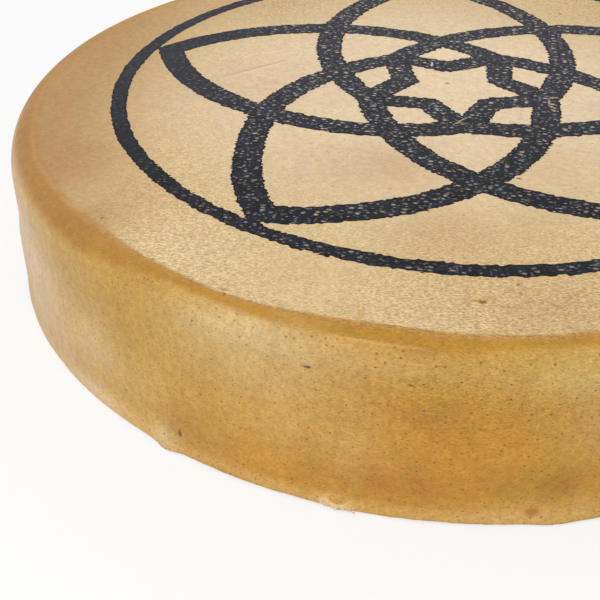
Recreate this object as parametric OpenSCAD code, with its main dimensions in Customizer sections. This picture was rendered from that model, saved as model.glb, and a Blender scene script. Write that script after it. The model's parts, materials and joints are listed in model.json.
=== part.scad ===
// Ocean drum: a shallow two-headed frame drum of rawhide on a bent wooden hoop,
// with loose steel shot inside that rolls over the lower skin.
// Millimetres, +Z up, origin on the floor under the middle of the drum.

/* [Drum] */
// Diameter over the top skin, above the lap of the bottom skin
drum_d = 400; // [280:5:600]
// Height from the floor to the top head
drum_h = 73; // [60:1:140]

/* [Wooden hoop] */
// Thickness of each of the two bent plies
ply_t = 4; // [3:0.5:6]
// Length of the scarf joint that closes each bent strip
scarf_l = 36; // [26:1:60]
// Glue gap left in a scarf joint
scarf_gap = 0.3; // [0.2:0.05:0.6]
// Radius of the bearing edge under the top head
top_edge_r = 8.5; // [5:0.5:12]
// Radius of the edge under the bottom head
bottom_edge_r = 2.5; // [1:0.5:5]

/* [Stiffening rings] */
// Radial width of the rings glued inside the hoop
ring_w = 9; // [6:0.5:14]
// Height of those rings
ring_h = 12; // [8:1:18]
// How far each ring sits back from the edge of the hoop
ring_drop = 2; // [1:0.5:4]
// Chamfer along the inner corners of the rings
ring_ease = 1.5; // [0.5:0.25:3]

/* [Skins] */
// Thickness of the rawhide
skin_t = 1; // [0.6:0.1:1.4]
// Glue line between two glued layers
glue_t = 0.15; // [0.05:0.05:0.3]
// Height of the bottom skin's lap on the hoop
lap_h = 30; // [20:1:36]
// Height over which the top skin spreads to cover that lap
lap_ramp = 10; // [5:1:16]
// Height of the top skin's trimmed edge above the floor
trim_z = 1.2; // [0.5:0.1:3]

/* [Skin tacks] */
// Number of tacks round the bottom skin's lap
tack_n = 18; // [9:1:30]
// Height of the tacks above the floor
tack_z = 8; // [6:0.5:12]
// Diameter of a tack's head
tack_head_d = 3.4; // [2.4:0.2:5]
// Thickness of a tack's head
tack_head_t = 0.5; // [0.3:0.05:0.7]
// Diameter of a tack's shank
tack_shank_d = 1.4; // [1:0.1:2]
// Length of a tack below its head
tack_shank_l = 7; // [4:0.5:7.5]

/* [Scarf brads] */
// Rows of brads, one above the other, through each scarf joint
brad_rows = 3; // [2:1:4]
// Distance from the hoop's upper and lower edge to the nearest row
brad_edge = 15.35; // [14:0.05:20]
// Distance between the two brads of a row
brad_pitch = 10; // [6:1:16]
// Diameter of a brad's shank
brad_shank_d = 1.2; // [0.8:0.1:1.8]
// Length of a brad below its head
brad_shank_l = 6.5; // [4:0.5:7.5]
// Diameter of a brad's head
brad_head_d = 2.4; // [2:0.1:3]
// Thickness of a brad's head
brad_head_t = 0.5; // [0.3:0.05:0.8]

/* [Painted figure] */
// Thickness of the paint
paint_t = 0.2; // [0.1:0.05:0.4]
// Unpainted hairline between two painted shapes
paint_gap = 0.1; // [0.05:0.05:0.5]
// How far the figure sits off the middle of the head, along X
figure_x = 2.7; // [-8:0.1:8]
// How far the figure sits off the middle of the head, along Y
figure_y = 8.4; // [-12:0.1:12]
// Turn of the figure on the head, in degrees
figure_turn = -9.8; // [-36:0.1:36]
// Outer diameter of the painted ring
circle_d = 324; // [220:1:340]
// Width of the painted ring
circle_w = 7.4; // [3:0.1:12]
// Radius of the arcs that make up the petals, at mid width
petal_arc_r = 112.5; // [97:0.1:125]
// Width of the painted arcs
petal_w = 12.8; // [6:0.1:16]
// Distance from the ring's inner edge to the petals' tips, at mid width
tip_inset = 7.3; // [3:0.1:9]
// Distance from the middle of the figure to the petals' waists, at mid width
waist_r = 42.7; // [40:0.1:46]
// Distance from the middle of the star to its points, which the petals' waists cut off
star_tip = 59; // [52:0.5:66]
// Distance from the middle of the star to its notches
star_notch = 30.9; // [24:0.1:34]
// Distance from the middle to the points of the bare star inside it
hole_tip = 31.8; // [24:0.1:33]
// Distance from the middle to the notches of the bare star
hole_notch = 17.3; // [10:0.1:19]

/* [Shot] */
// Diameter of a steel ball
shot_d = 5; // [3:0.5:7]
// Number of balls
shot_n = 180; // [80:10:260]
// Least gap between two balls
shot_gap = 0.3; // [0.1:0.1:1]
// Gap under the balls where they lie on the bottom skin
shot_seat = 0.3; // [0.1:0.1:0.5]

/* [Hidden] */

$fn = 96;
edge_steps = 10;
overrun = 1;
// Clearance all round a tack or a brad in its hole
drive_fit = 0.05;

// Hoop, from the outside inwards
hoop_r = drum_d / 2 - skin_t - glue_t;
hoop_z0 = skin_t + glue_t;
hoop_z1 = drum_h - skin_t - glue_t;
outer_ply_r = hoop_r - ply_t;
inner_ply_out_r = outer_ply_r - glue_t;
inner_ply_r = inner_ply_out_r - ply_t;
ring_out_r = inner_ply_r - glue_t;
ring_in_r = ring_out_r - ring_w;
// Where the scarf of each strip lies, as a direction from the middle
outer_scarf_at = 150;
inner_scarf_at = -30;
top_scarf_at = 60;
bottom_scarf_at = 240;

// Skins
bottom_lap_r = hoop_r + glue_t + skin_t;
top_skin_low_r = bottom_lap_r + glue_t + skin_t;
tack_turn = 2;

// Painted figure
petal_n = 5;
petal_step = 360 / petal_n;
petal_tip_at = petal_step * 3 / 2;
tip_crossing = 0.5;
circle_in_r = circle_d / 2 - circle_w;
petal_tip = (circle_in_r - tip_inset) * [cos(petal_tip_at), sin(petal_tip_at)];
petal_waist = [waist_r, 0];
petal_arc_at = arc_centre(petal_waist, petal_tip, petal_arc_r);
paint_z = drum_h;

// Shot: ball n lies at sqrt(n + 1) radial steps, a golden angle further round each time.
// Two neighbours in that layout are never closer than this share of the step.
closest_share = 1.6;
shot_step = (shot_d + shot_gap) / closest_share;
golden_angle = 180 * (3 - sqrt(5));
shot_z = skin_t + shot_seat + shot_d / 2;
pool_r = shot_step * sqrt(shot_n);
group_n = 5;
group_w = 2 * pool_r / group_n;

function arc(cx, cy, r, from, to, steps = edge_steps) =
    [for (i = [0:steps]) let (a = from + (to - from) * i / steps) [cx + r * cos(a), cy + r * sin(a)]];

// Centre of the arc of radius r through p and q, to the left of the way from p to q
function arc_centre(p, q, r) =
    let (half = (q - p) / 2, rise = sqrt(r * r - half * half))
        (p + q) / 2 + rise / norm(half) * [-half.y, half.x];

// Cross-section of everything inside the skins: both bearing edges are on it
module hoop_outline() {
    polygon(concat(
        [[0, hoop_z0]],
        arc(hoop_r - bottom_edge_r, hoop_z0 + bottom_edge_r, bottom_edge_r, -90, 0),
        arc(hoop_r - top_edge_r, hoop_z1 - top_edge_r, top_edge_r, 0, 90),
        [[0, hoop_z1]]));
}

// The slanted saw cut that closes a bent strip: a thin arc of the strip's own radius
// that is shifted sideways, so that it crosses from one face of the strip to the other
module scarf_slot(r_out, r_in, at) {
    mid_r = (r_out + r_in) / 2;
    shift = mid_r * (r_out - r_in) / scarf_l;
    rotate(at - asin(shift / 2 / mid_r))
        intersection() {
            translate([0, shift, -overrun])
                difference() {
                    cylinder(r = mid_r + scarf_gap / 2, h = drum_h + 2 * overrun);
                    translate([0, 0, -overrun])
                        cylinder(r = mid_r - scarf_gap / 2, h = drum_h + 4 * overrun);
                }
            translate([mid_r / 2, shift / 2 - scarf_l, -overrun])
                cube([mid_r, 2 * scarf_l, drum_h + 2 * overrun]);
        }
}

module bent_strip(r_out, r_in, scarf_at) {
    difference() {
        rotate_extrude()
            intersection() {
                translate([r_in, 0])
                    square([r_out - r_in, drum_h]);
                hoop_outline();
            }
        scarf_slot(r_out, r_in, scarf_at);
    }
}

module stiffening_ring(z0, scarf_at) {
    difference() {
        rotate_extrude()
            translate([ring_in_r, z0])
                polygon([[ring_ease, 0], [ring_w, 0], [ring_w, ring_h],
                    [ring_ease, ring_h], [0, ring_h - ring_ease], [0, ring_ease]]);
        scarf_slot(ring_out_r, ring_in_r, scarf_at);
    }
}

// A nail pointing along -X from the origin, its head on the +X side.
// As a hole it is wider by the fit, and its head runs out through the surface.
module nail(shank_d, shank_l, head_d, head_t, fit = 0) {
    head_l = fit > 0 ? head_t + overrun : head_t;
    rotate([0, -90, 0])
        cylinder(d = shank_d + 2 * fit, h = shank_l + fit);
    translate([-fit, 0, 0])
        rotate([0, 90, 0])
            cylinder(d = head_d + 2 * fit, h = head_l);
}

// The tacks hold the bottom skin's lap; their heads are sunk into it
module tacks(fit = 0) {
    for (i = [0:tack_n - 1])
        rotate(tack_turn + 360 / tack_n * i)
            translate([bottom_lap_r - tack_head_t - drive_fit, 0, tack_z])
                nail(tack_shank_d, tack_shank_l, tack_head_d, tack_head_t, fit);
}

// Brads close the outer ply's scarf from outside and the inner ply's from inside
module brad_grid() {
    pitch_z = (hoop_z1 - hoop_z0 - 2 * brad_edge) / (brad_rows - 1);
    for (row = [0:brad_rows - 1])
        for (side = [-1, 1])
            rotate(side * asin(brad_pitch / 2 / hoop_r))
                translate([0, 0, hoop_z0 + brad_edge + row * pitch_z])
                    children();
}

module brads(fit = 0) {
    rotate(outer_scarf_at)
        brad_grid()
            translate([hoop_r - brad_head_t - drive_fit, 0, 0])
                nail(brad_shank_d, brad_shank_l, brad_head_d, brad_head_t, fit);
    rotate(inner_scarf_at)
        brad_grid()
            translate([inner_ply_r + brad_head_t + drive_fit, 0, 0])
                mirror([1, 0, 0])
                    nail(brad_shank_d, brad_shank_l, brad_head_d, brad_head_t, fit);
}

module outer_ply() {
    color("burlywood")
        difference() {
            bent_strip(hoop_r, outer_ply_r, outer_scarf_at);
            brads(drive_fit);
            tacks(drive_fit);
        }
}

module inner_ply() {
    color("tan")
        difference() {
            bent_strip(inner_ply_out_r, inner_ply_r, inner_scarf_at);
            brads(drive_fit);
            tacks(drive_fit);
        }
}

module top_stiffening_ring() {
    color("peru")
        stiffening_ring(hoop_z1 - ring_drop - ring_h, top_scarf_at);
}

module bottom_stiffening_ring() {
    color("peru")
        stiffening_ring(hoop_z0 + ring_drop, bottom_scarf_at);
}

module scarf_brads() {
    color("darkgoldenrod")
        brads();
}

module bottom_skin() {
    skin_in_r = hoop_r + glue_t;
    bend_in_r = bottom_edge_r + glue_t;
    bend_at = [skin_in_r - bend_in_r, skin_t + bend_in_r];
    color("goldenrod")
        difference() {
            rotate_extrude()
                polygon(concat(
                    [[0, 0]],
                    arc(bend_at.x, bend_at.y, bend_in_r + skin_t, -90, 0),
                    [[bottom_lap_r, lap_h], [skin_in_r, lap_h]],
                    arc(bend_at.x, bend_at.y, bend_in_r, 0, -90),
                    [[0, skin_t]]));
            tacks(drive_fit);
        }
}

module skin_tacks() {
    color("saddlebrown")
        tacks();
}

module top_skin() {
    top_r = drum_d / 2;
    bend_in_r = top_edge_r + glue_t;
    bend_at = [top_r - skin_t - bend_in_r, drum_h - skin_t - bend_in_r];
    color("wheat")
        rotate_extrude()
            polygon(concat(
                [[0, drum_h]],
                [[0, drum_h - skin_t]],
                arc(bend_at.x, bend_at.y, bend_in_r, 90, 0),
                [[top_r - skin_t, lap_h + lap_ramp], [top_skin_low_r - skin_t, lap_h + glue_t],
                    [top_skin_low_r - skin_t, trim_z], [top_skin_low_r, trim_z],
                    [top_skin_low_r, lap_h + glue_t], [top_r, lap_h + lap_ramp]],
                arc(bend_at.x, bend_at.y, bend_in_r + skin_t, 0, 90)));
}

module figure_place() {
    translate([figure_x, figure_y, paint_z])
        rotate(figure_turn)
            linear_extrude(paint_t)
                children();
}

// The sector between the two tips that a stroke joins, a little wider so that strokes cross there
module stroke_sector() {
    reach = 2 * circle_d;
    half_sector = petal_tip_at + tip_crossing;
    polygon([[0, 0], for (i = [-3:3]) reach * [cos(half_sector * i / 3), sin(half_sector * i / 3)]]);
}

// Two discs side by side: their common outline is the path of one stroke
module stroke_discs(grow) {
    for (side = [-1, 1])
        translate([petal_arc_at.x, side * petal_arc_at.y])
            circle(r = petal_arc_r + grow);
}

// One painted stroke, from a tip at the ring round the middle to the next tip but one
module petal_stroke() {
    intersection() {
        difference() {
            stroke_discs(petal_w / 2);
            stroke_discs(-petal_w / 2);
        }
        stroke_sector();
    }
}

module star_outline(tip, notch) {
    polygon([for (i = [0:2 * petal_n - 1])
        (i % 2 == 0 ? tip : notch) * [cos(petal_step / 2 * i), sin(petal_step / 2 * i)]]);
}

// The space inside all the strokes, where the star lies clear of them
module inside_strokes() {
    intersection_for (k = [0:petal_n - 1])
        rotate(petal_step * k)
            stroke_discs(-petal_w / 2 - paint_gap);
}

module painted_ring() {
    color("midnightblue")
        figure_place()
            difference() {
                circle(d = circle_d, $fn = 2 * $fn);
                circle(r = circle_in_r, $fn = 2 * $fn);
            }
}

module painted_petals() {
    color("midnightblue")
        figure_place()
            intersection() {
                union()
                    for (k = [0:petal_n - 1])
                        rotate(petal_step * k)
                            petal_stroke();
                circle(r = circle_in_r - paint_gap);
            }
}

module painted_star() {
    color("midnightblue")
        figure_place()
            intersection() {
                difference() {
                    star_outline(star_tip, star_notch);
                    star_outline(hole_tip, hole_notch);
                }
                inside_strokes();
            }
}

function ball_at(n) = shot_step * sqrt(n + 1) * [cos(golden_angle * n), sin(golden_angle * n)];
function group_of(n) = min(group_n - 1, floor((ball_at(n).x + pool_r) / group_w));

// The balls of one group: a strip of the pool, counted from the trailing side
module shot_group(g) {
    color("silver")
        for (n = [0:shot_n - 1])
            if (group_of(n) == g)
                translate([ball_at(n).x, ball_at(n).y, shot_z])
                    sphere(d = shot_d, $fn = 24);
}

module shot_trailing() { shot_group(0); }
module shot_following() { shot_group(1); }
module shot_middle() { shot_group(2); }
module shot_second() { shot_group(3); }
module shot_leading() { shot_group(4); }

outer_ply();
inner_ply();
top_stiffening_ring();
bottom_stiffening_ring();
scarf_brads();
bottom_skin();
skin_tacks();
top_skin();
painted_ring();
painted_petals();
painted_star();
shot_trailing();
shot_following();
shot_middle();
shot_second();
shot_leading();
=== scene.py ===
# %% [markdown]
# # An ocean drum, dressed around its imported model
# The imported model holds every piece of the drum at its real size: a hoop of bent wood, two
# rawhides, a painted figure, nails, and the loose shot inside. This script leaves those
# sizes alone and makes what one sees and touches. It works in metres, with +Z up through
# both heads and the drum resting on the floor at the origin.

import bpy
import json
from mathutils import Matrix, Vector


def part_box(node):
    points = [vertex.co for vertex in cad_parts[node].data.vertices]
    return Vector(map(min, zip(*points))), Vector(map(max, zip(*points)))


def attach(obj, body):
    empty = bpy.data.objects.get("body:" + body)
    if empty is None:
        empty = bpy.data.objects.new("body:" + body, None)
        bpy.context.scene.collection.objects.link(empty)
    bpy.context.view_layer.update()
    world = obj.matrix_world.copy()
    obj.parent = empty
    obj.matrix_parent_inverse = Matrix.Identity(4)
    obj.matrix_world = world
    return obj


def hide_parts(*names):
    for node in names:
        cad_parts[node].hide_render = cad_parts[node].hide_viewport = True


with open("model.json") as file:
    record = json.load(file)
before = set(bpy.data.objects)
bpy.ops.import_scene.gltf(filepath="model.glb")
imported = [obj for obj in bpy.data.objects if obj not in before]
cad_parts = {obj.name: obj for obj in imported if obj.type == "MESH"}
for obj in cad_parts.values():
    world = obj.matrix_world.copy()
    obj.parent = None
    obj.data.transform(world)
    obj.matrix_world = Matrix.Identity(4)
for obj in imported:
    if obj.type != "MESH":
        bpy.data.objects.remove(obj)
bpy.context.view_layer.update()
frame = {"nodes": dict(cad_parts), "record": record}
print("packed pieces:", ", ".join(sorted(frame["nodes"])))

# %% Tools
import itertools
import json
import math

import bpy
import numpy as np
from mathutils import Vector, geometry

mm = 0.001

# %% [markdown]
# ## The sizes that the looks need
# A maker measures the drum before covering it, and so does this script: heights and radii
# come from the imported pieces. Only the thickness of the hide, the glue line, the bend over
# the rim and the slope over the lap are named again: a box round a piece doesn't show them.

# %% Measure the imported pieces
hide_t = 1.0 * mm
glue_t = 0.15 * mm
bend_r = 9.65 * mm
ramp_h = 10 * mm

head_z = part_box("top_skin")[1].z
trim_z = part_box("top_skin")[0].z
low_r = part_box("top_skin")[1].x
lap_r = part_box("bottom_skin")[1].x
lap_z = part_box("bottom_skin")[1].z
hoop_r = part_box("outer_ply")[1].x
rim_r = hoop_r + glue_t + hide_t
flat_r = rim_r - bend_r
bend_l = bend_r * math.pi / 2

tack_n = 18
tack_first = 2
tack_step = 360 / tack_n
tack_z = (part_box("skin_tacks")[0].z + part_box("skin_tacks")[1].z) / 2
print(f"drum {2000 * rim_r:.1f} mm across and {1000 * head_z:.1f} mm high, tacks at {1000 * tack_z:.1f} mm")

# %% [markdown]
# ## Where the camera stands
# The photograph looks down on the drum from close by, so the near edge looms large and the
# drum runs out of the picture at the right. The camera was fitted to the rim, the lower
# edge and the painted ring, and its place is written here once.

# %% Camera
camera_at = Vector((0, -452.22 * mm, 270.24 * mm))
camera_tilt = 54.727
camera_turn = 8.847
camera_lens = 61.1


def put(name, data):
    """A new object in the scene, at the drum's own origin."""
    made = bpy.data.objects.new(name, data)
    bpy.context.scene.collection.objects.link(made)
    return made


camera = put("camera", bpy.data.cameras.new("camera"))
camera.location = camera_at
camera.rotation_euler = [math.radians(a) for a in (camera_tilt, 0, camera_turn)]
camera.data.lens = camera_lens
camera.data.clip_start = 10 * mm
bpy.context.scene.camera = camera
bpy.context.scene.view_settings.view_transform = "Standard"
print(f"camera {(camera_at - Vector((0, 0, head_z))).length:.3f} m from the middle of the head")

# %% [markdown]
# ## A few lines that every material uses
# Colours are written as one reads them off a screen, 0 to 255, and turned into the linear
# values that light works with. Shader nodes are added by one small function, where an
# input is either a number or the output of another node.

# %% Colour and node helpers
def linear(*screen):
    """A screen colour from 0 to 255 as the linear colour that a shader takes."""
    c = np.array(screen, float) / 255
    return np.where(c < 0.04045, c / 12.92, ((c + 0.055) / 1.055) ** 2.4)


def rgba(*screen):
    return (*linear(*screen), 1.0)


def add(tree, kind, inputs=(), **settings):
    """Adds a node to a tree. An input takes a value, or another node's output."""
    made = tree.nodes.new(kind)
    for name, value in settings.items():
        setattr(made, name, value)
    for name, value in dict(inputs).items():
        if isinstance(value, bpy.types.NodeSocket):
            tree.links.new(value, made.inputs[name])
        else:
            made.inputs[name].default_value = value
    return made


def maths(tree, operation, *values):
    return add(tree, "ShaderNodeMath", dict(enumerate(values)), operation=operation).outputs[0]


def product(tree, first, *others):
    for other in others:
        first = maths(tree, "MULTIPLY", first, other)
    return first


def length(tree, vector):
    return add(tree, "ShaderNodeVectorMath", {0: vector}, operation="LENGTH").outputs["Value"]


def fade(tree, value, low, high, to_low=0.0, to_high=1.0):
    """Takes a value from low..high to to_low..to_high, softly and without overshoot."""
    return add(tree, "ShaderNodeMapRange", {0: value, 1: low, 2: high, 3: to_low, 4: to_high},
               interpolation_type="SMOOTHSTEP").outputs[0]


def blend_colour(tree, share, a, b, how="MIX"):
    made = add(tree, "ShaderNodeMix", {0: share, 6: a, 7: b}, data_type="RGBA", blend_type=how)
    return made.outputs[2]


# %% Patterns and surfaces
def place_on_drum(tree):
    return add(tree, "ShaderNodeTexCoord").outputs["Object"]


def stretched(tree, where, scale, turn_by=0):
    """The place, scaled along each axis and turned about Z by so many degrees."""
    inputs = {"Vector": where, "Rotation": (0, 0, math.radians(turn_by)), "Scale": scale}
    return add(tree, "ShaderNodeMapping", inputs).outputs[0]


def noise(tree, where, size, detail=2.0, out=0, **more):
    """Soft noise from 0 to 1, in patches about as wide as size."""
    inputs = {"Vector": where, "Scale": 1 / size, "Detail": detail, **more}
    return add(tree, "ShaderNodeTexNoise", inputs).outputs[out]


def carried(tree, name, out="Fac"):
    """What the points of the mesh carry under that name."""
    return add(tree, "ShaderNodeAttribute", attribute_name=name).outputs[out]


def new_material(name, **inputs):
    """A material with one glossy shader, whose plain inputs are set on its own sockets."""
    material = bpy.data.materials.new(name)
    material.use_nodes = True
    shader = material.node_tree.nodes["Principled BSDF"]
    for socket, value in inputs.items():
        shader.inputs[socket.replace("_", " ")].default_value = value
    return material, material.node_tree, shader


def wire_up(tree, shader, colour, height=None, strength=0.5, depth=0.1 * mm):
    """Gives the shader its colour, and makes fine relief of a height if there is one."""
    tree.links.new(colour, shader.inputs["Base Color"])
    if height is not None:
        bump = add(tree, "ShaderNodeBump", {"Height": height, "Strength": strength, "Distance": depth})
        tree.links.new(bump.outputs[0], shader.inputs["Normal"])


# %% [markdown]
# ## Floor and light
# The photograph is a cut-out on white with soft light from all round. A white sky does
# most of that, and one large lamp gives the rim its side of light and shade. The camera
# and anything glossy see the floor brighter than it lights the drum, so the ground turns
# white while the drum's own shadow stays on it. Further out the floor fades into the sky.

# %% Floor, sky and lamp
sky_strength = 0.73
lamp_watts = 5.6
lamp_size = 0.9
lamp_at = Vector((-0.35, -0.55, 1.1))
paper_white = 0.9
floor_glow = 0.7
shadow_reach = 0.27
white_from = 1.3
floor_drop = 0.3 * mm
floor_half = 30.0


def seen_directly(tree):
    """1 for rays from the camera and for reflections, 0 for the light that falls on things."""
    path = add(tree, "ShaderNodeLightPath").outputs
    seen = maths(tree, "MAXIMUM", path["Is Camera Ray"], path["Is Glossy Ray"])
    return maths(tree, "MAXIMUM", seen, path["Is Transmission Ray"])


corners = [(x * floor_half, y * floor_half, -floor_drop) for x, y in ((-1, -1), (1, -1), (1, 1), (-1, 1))]
floor_mesh = bpy.data.meshes.new("floor")
floor_mesh.from_pydata(corners, [], [(0, 1, 2, 3)])
floor = put("floor", floor_mesh)

floor_paper, tree, shader = new_material(
    "floor_paper", Base_Color=(paper_white, paper_white, paper_white, 1), Roughness=0.9)
glow = add(tree, "ShaderNodeEmission")
whiter = fade(tree, length(tree, place_on_drum(tree)), shadow_reach, white_from, floor_glow, 1.0)
both = add(tree, "ShaderNodeMixShader", {
    0: product(tree, seen_directly(tree), whiter),
    1: shader.outputs[0],
    2: glow.outputs[0],
})
tree.links.new(both.outputs[0], tree.nodes["Material Output"].inputs["Surface"])
floor_mesh.materials.append(floor_paper)

sky = bpy.data.worlds.new("sky")
bpy.context.scene.world = sky
sky.use_nodes = True
background = sky.node_tree.nodes["Background"]
strength = fade(sky.node_tree, seen_directly(sky.node_tree), 0, 1, sky_strength, 1.0)
background.inputs["Color"].default_value = (1, 1, 1, 1)
sky.node_tree.links.new(strength, background.inputs["Strength"])

lamp = put("lamp", bpy.data.lights.new("lamp", "AREA"))
lamp.data.size = lamp_size
lamp.data.energy = lamp_watts
lamp.location = lamp_at
lamp.rotation_euler = (Vector((0, 0, head_z)) - lamp_at).to_track_quat("-Z", "Y").to_euler()
print(f"sky {sky_strength}, lamp {lamp_watts} W")

# %% [markdown]
# ## Unevenness that stays the same each run
# Hide is never quite even, in shape or in colour. One function gives smooth random lumps
# of a chosen size at any set of points. It reads a small table made from a fixed seed, so
# the drum comes out the same every time.

# %% Smooth random lumps
def lumps(points, size, seed):
    """Smooth noise from -1 to 1 at points (..., 3), with lumps about as wide as size."""
    side = 32
    table = np.random.default_rng(seed).uniform(-1, 1, (side, side, side))
    place = np.asarray(points, float) / size
    low = np.floor(place).astype(int)
    part = place - low
    part = part * part * (3 - 2 * part)
    total = 0.0
    for corner in itertools.product((0, 1), repeat=3):
        x, y, z = np.moveaxis((low + corner) % side, -1, 0)
        total = total + np.where(corner, part, 1 - part).prod(axis=-1) * table[x, y, z]
    return total


def smooth(value, low, high):
    t = np.clip((value - low) / (high - low), 0, 1)
    return t * t * (3 - 2 * t)


def hill(value, middle, width):
    return np.exp(-((value - middle) / width) ** 2)


def flat_points(x, y):
    return np.stack([x, y, np.zeros_like(x)], axis=-1)


# %% [markdown]
# ## The head's slight waves
# A dried skin is tight but not dead flat. The paint lies on the same waves as the skin
# under it, so both ask this one function for the height.

# %% Height of the head
wave_h = 0.09 * mm
wave_w = 55 * mm
wave_ends = 14 * mm
wave_gone = 3 * mm


def head_wave(x, y):
    """Height of the head's waves above its plane, which fade out towards the rim."""
    edge = 1 - smooth(np.hypot(x, y), flat_r - wave_ends, flat_r - wave_gone)
    return wave_h * lumps(flat_points(x, y), wave_w, seed=3) * edge


# %% [markdown]
# ## Turning a hide on a lathe
# Both hides are round shells: an outline from the axis, over the outside, round the edge
# and back inside to the axis, turned about the middle. Written in mesh code the outline
# can be dense where the hide bends or is cut, and each point can then be pushed a little,
# which a modifier couldn't aim as well. The UV map unrolls the side, in metres: round the
# rim from the back, and down from where the head ends.

# %% Lathe
def turn(name, outline, down, turns, push):
    """A closed shell from (radius, height) pairs that start and end on the axis."""
    angle = np.arange(turns) * 2 * math.pi / turns
    rings = np.array(outline[1:-1])
    r, z = (np.repeat(c[:, None], turns, axis=1) for c in rings.T)
    a = np.broadcast_to(angle, r.shape)
    r, z = push(r, z, np.degrees(a))
    points = np.stack([r * np.cos(a), r * np.sin(a), z], axis=-1).reshape(-1, 3)
    points = np.vstack([points, [(0, 0, outline[0][1]), (0, 0, outline[-1][1])]])
    first, last = len(points) - 2, len(points) - 1

    j = np.arange(turns)
    k = (j + 1) % turns
    row = np.arange(len(rings) - 1)[:, None] * turns
    inner = (len(rings) - 1) * turns
    walls = np.stack([row + j, row + turns + j, row + turns + k, row + k], axis=-1)
    faces = walls.reshape(-1, 4).tolist()
    faces += np.stack([np.full(turns, first), j, k], axis=-1).tolist()
    faces += np.stack([inner + j, np.full(turns, last), inner + k], axis=-1).tolist()

    mesh = bpy.data.meshes.new(name)
    mesh.from_pydata(points.tolist(), [], faces)
    mesh.polygons.foreach_set("use_smooth", np.ones(len(mesh.polygons), bool))
    around = np.append(np.tile((np.degrees(angle) - 90) % 360, len(rings)), [0, 0])
    unroll(mesh, around, np.append(np.repeat(down, turns), [0, 0]))
    print(f"{name}: {len(points)} points, {len(faces)} faces")
    return put(name, mesh), points, np.degrees(a).ravel()


def unroll(mesh, around, down):
    """Writes the UV map. A face that crosses the seam at the back keeps its corners together."""
    corner = np.zeros(len(mesh.loops), int)
    mesh.loops.foreach_get("vertex_index", corner)
    start = np.zeros(len(mesh.polygons), int)
    mesh.polygons.foreach_get("loop_start", start)
    size = np.diff(np.append(start, len(corner)))
    u = around[corner]
    highest = np.repeat(np.maximum.reduceat(u, start), size)
    u = np.where(highest - u > 180, u + 360, u)
    uv = np.stack([np.radians(u) * rim_r, down[corner]], axis=-1)
    layer = mesh.uv_layers.new(name="unrolled")
    layer.data.foreach_set("uv", uv.astype(np.float32).ravel())


# %% [markdown]
# ## A hoop that isn't quite round
# Bent wood keeps a memory of its straight plank. This drum's side bulges a few millimetres
# at the left. Both hides follow the hoop, inside and out, so both ask the same function.

# %% Out of round
bulges = [(5.0 * mm, 168, 22), (1.9 * mm, 207, 20)]


def out_of_round(angle):
    """How far the side stands outside a true circle."""
    return sum(height * hill(angle, at, spread) for height, at, spread in bulges)


# %% [markdown]
# ## The top hide
# One goat hide makes the head, bends over the rim and covers the whole side down to the
# lower edge, where it is trimmed with a knife. It pulls in a little over each tack that
# holds the skin underneath, and its cut edge wanders.

# %% Outline of the top hide
side_top_z = head_z - bend_r
ramp_z = lap_z + ramp_h
inner_bend_r = bend_r - hide_t
rim_zone = 10 * mm
cut_zone_z = 10 * mm
head_step = 6 * mm
rim_step = 0.8 * mm
bend_step = 6
side_step = 2 * mm
lap_step = 1.5 * mm
cut_step = 0.9 * mm
cut_clear = 0.4 * mm
cut_round = 0.35 * mm
cut_lean = 0.05 * mm
inner_cut = 0.3 * mm


def steps(low, high, step):
    """Evenly spaced values from low to high, with high left out."""
    return list(np.linspace(low, high, max(1, round(abs(high - low) / step)), endpoint=False))


def side_radius(z):
    """Outer radius of the top hide's side, which spreads over the lap of the bottom hide."""
    return rim_r + (low_r - rim_r) * np.clip((ramp_z - z) / ramp_h, 0, 1)


def distance_along(outline):
    """How far each point of an outline lies from its start."""
    return np.append(0, np.cumsum(np.hypot(*np.diff(outline, axis=0).T)))


head_radii = steps(head_step, flat_r - rim_zone, head_step) + steps(flat_r - rim_zone, flat_r, rim_step)
bends = [math.radians(a) for a in steps(0, 90, bend_step)]
side_heights = steps(side_top_z, ramp_z, side_step) + steps(ramp_z, lap_z, side_step)
side_heights += steps(lap_z, cut_zone_z, lap_step) + steps(cut_zone_z, trim_z + cut_clear, cut_step)

outer = [(r, head_z) for r in head_radii]
outer += [(flat_r + bend_r * math.sin(b), side_top_z + bend_r * math.cos(b)) for b in bends]
outer += [(side_radius(z), z) for z in side_heights]
outer += [(low_r - cut_lean, trim_z + cut_round), (low_r - cut_round, trim_z)]
outer_n = len(outer)
inner = [(low_r - hide_t + inner_cut / 2, trim_z), (low_r - hide_t, trim_z + inner_cut)]
inner += [(side_radius(z) - hide_t, z) for z in (cut_zone_z, lap_z, ramp_z, (ramp_z + side_top_z) / 2)]
inner += [(flat_r + inner_bend_r * math.sin(b), side_top_z + inner_bend_r * math.cos(b))
          for b in bends[::-3]]
inner += [(r, head_z - hide_t) for r in head_radii[::-6]]
outline = np.array([(0, head_z), *outer, *inner, (0, head_z - hide_t)])
down = distance_along(outline)[1:-1] - flat_r
print(f"outline of {len(outline)} points, {1000 * down[outer_n - 1]:.0f} mm from head to cut edge")

# %% [markdown]
# The pushes are small: a quarter of a millimetre of unevenness on the side, a dimple and a
# bead at each tack, and upright wrinkles where the hide was gathered at the left. The cut
# edge hangs almost to the floor, rises and falls, and stands out in a few lobes where the
# wet hide was pinched. One of them is frayed.

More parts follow.
